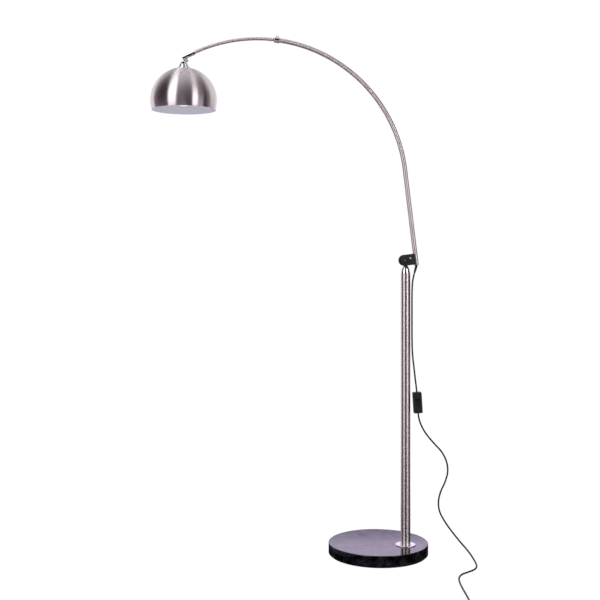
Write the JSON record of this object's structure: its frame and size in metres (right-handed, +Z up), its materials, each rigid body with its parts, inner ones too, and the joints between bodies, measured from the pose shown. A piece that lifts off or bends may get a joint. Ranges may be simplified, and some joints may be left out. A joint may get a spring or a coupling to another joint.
{
  "type": "arc floor lamp",
  "caption": "Arc floor lamp: round stone base, set-off post, clamped tilting arm of two telescoping arc tubes, dome shade on a tilting knuckle, inline switch on a mains cord.",
  "frame": {"origin": "centre of the base's underside, on the floor", "axes": "+Z up the post, the arm reaches towards -X, the front with the clamping knob faces -Y"},
  "size_m": [0.9623, 0.6965, 1.5635],
  "materials": {
    "black_stone": "polished black marble",
    "black_felt": "matt felt and fibre",
    "satin_nickel": "brushed nickel plate on steel",
    "chrome": "polished chrome plate",
    "zinc_steel": "zinc-plated steel",
    "black_metal": "textured black powder coat",
    "black_plastic": "moulded black plastic",
    "white_plastic": "moulded white plastic",
    "black_pvc": "black PVC cable sheath",
    "brass": "bright brass",
    "opal_glass": "frosted white lamp glass",
    "nickel_brass": "nickel-plated lamp cap"
  },
  "bodies": {
    "stand": {"base_disc": "black_stone", "base_pad": "black_felt", "base_washer": "zinc_steel", "base_bolt": "zinc_steel", "post_flange": "chrome", "post_foot_insert": "zinc_steel", "post_lower_tube": "satin_nickel", "post_coupler": "zinc_steel", "post_upper_tube": "satin_nickel", "post_top_insert": "zinc_steel", "neck_cone": "chrome", "neck_grub_screw": "zinc_steel", "hinge_tongue": "black_metal", "cord_upper": "black_pvc", "cord_lower": "black_pvc", "cord_coil": "black_pvc", "cord_tie": "black_felt", "plug_body": "black_plastic", "plug_pin_left": "brass", "plug_pin_right": "brass", "switch_front_shell": "black_plastic", "switch_rear_shell": "black_plastic", "switch_screw_upper": "zinc_steel", "switch_screw_lower": "zinc_steel"},
    "arm": {"bracket_front_plate": "black_metal", "bracket_rear_plate": "black_metal", "bracket_saddle": "black_metal", "friction_washer_front": "black_felt", "friction_washer_rear": "black_felt", "saddle_screw": "chrome", "saddle_nut": "zinc_steel", "knob_washer": "zinc_steel", "pivot_bolt": "zinc_steel", "outer_arm_tube": "satin_nickel", "clamp_collar": "chrome", "cable_in_outer_arm": "black_pvc", "cord_gland": "black_plastic", "cord_relief": "black_pvc"},
    "tilt_knob": {"tilt_knob": "black_plastic"},
    "thumb_screw": {"thumb_screw": "chrome"},
    "inner_arm": {"inner_arm_tube": "satin_nickel", "guide_bush": "black_plastic", "cable_in_inner_arm": "black_pvc", "head_sleeve": "chrome", "sleeve_grub_screw": "zinc_steel", "knuckle_lug": "chrome"},
    "head": {"holder_cup": "chrome", "knuckle_screw": "chrome", "knuckle_nut": "zinc_steel", "shade_cap": "chrome", "threaded_nipple": "zinc_steel", "shade": "satin_nickel", "lampholder_cap": "white_plastic", "lampholder_body": "white_plastic", "lampholder_shell": "brass", "lampholder_contact": "brass"},
    "bulb": {"bulb_cap": "nickel_brass", "bulb_globe": "opal_glass"},
    "switch_rocker": {"switch_rocker": "black_plastic"}
  },
  "joints": [
    {"name": "arm_tilt", "type": "hinge", "parent": "stand", "child": "arm", "pos_m": [0.07527, -0.03203, 0.8876], "axis": [0, 1, 0], "range_deg": [-45, 12], "deforming": ["cord_upper"]},
    {"name": "knob_turn", "type": "hinge", "parent": "arm", "child": "tilt_knob", "pos_m": [0.07527, -0.03203, 0.8876], "axis": [0, 1, 0], "range_deg": [-90, 360]},
    {"name": "arm_extension", "type": "hinge", "parent": "arm", "child": "inner_arm", "pos_m": [-0.36519, -0.03203, 1.10466], "axis": [0, -1, 0], "range_deg": [-26, 20]},
    {"name": "thumb_screw_turn", "type": "hinge", "parent": "arm", "child": "thumb_screw", "pos_m": [-0.30522, -0.03203, 1.54661], "axis": [0.1345, 0, 0.9909], "range_deg": [-90, 360]},
    {"name": "head_tilt", "type": "hinge", "parent": "inner_arm", "child": "head", "pos_m": [-0.58413, -0.03203, 1.47704], "axis": [0, 1, 0], "range_deg": [-30, 30]},
    {"name": "bulb_turn", "type": "hinge", "parent": "head", "child": "bulb", "pos_m": [-0.58413, -0.03203, 1.47704], "axis": [0, 0, 1], "range_deg": [0, 360]},
    {"name": "switch_rock", "type": "hinge", "parent": "stand", "child": "switch_rocker", "pos_m": [0.1143, -0.046, 0.463], "axis": [0.9981, 0, 0.061], "range_deg": [-16, 0]}
  ]
}
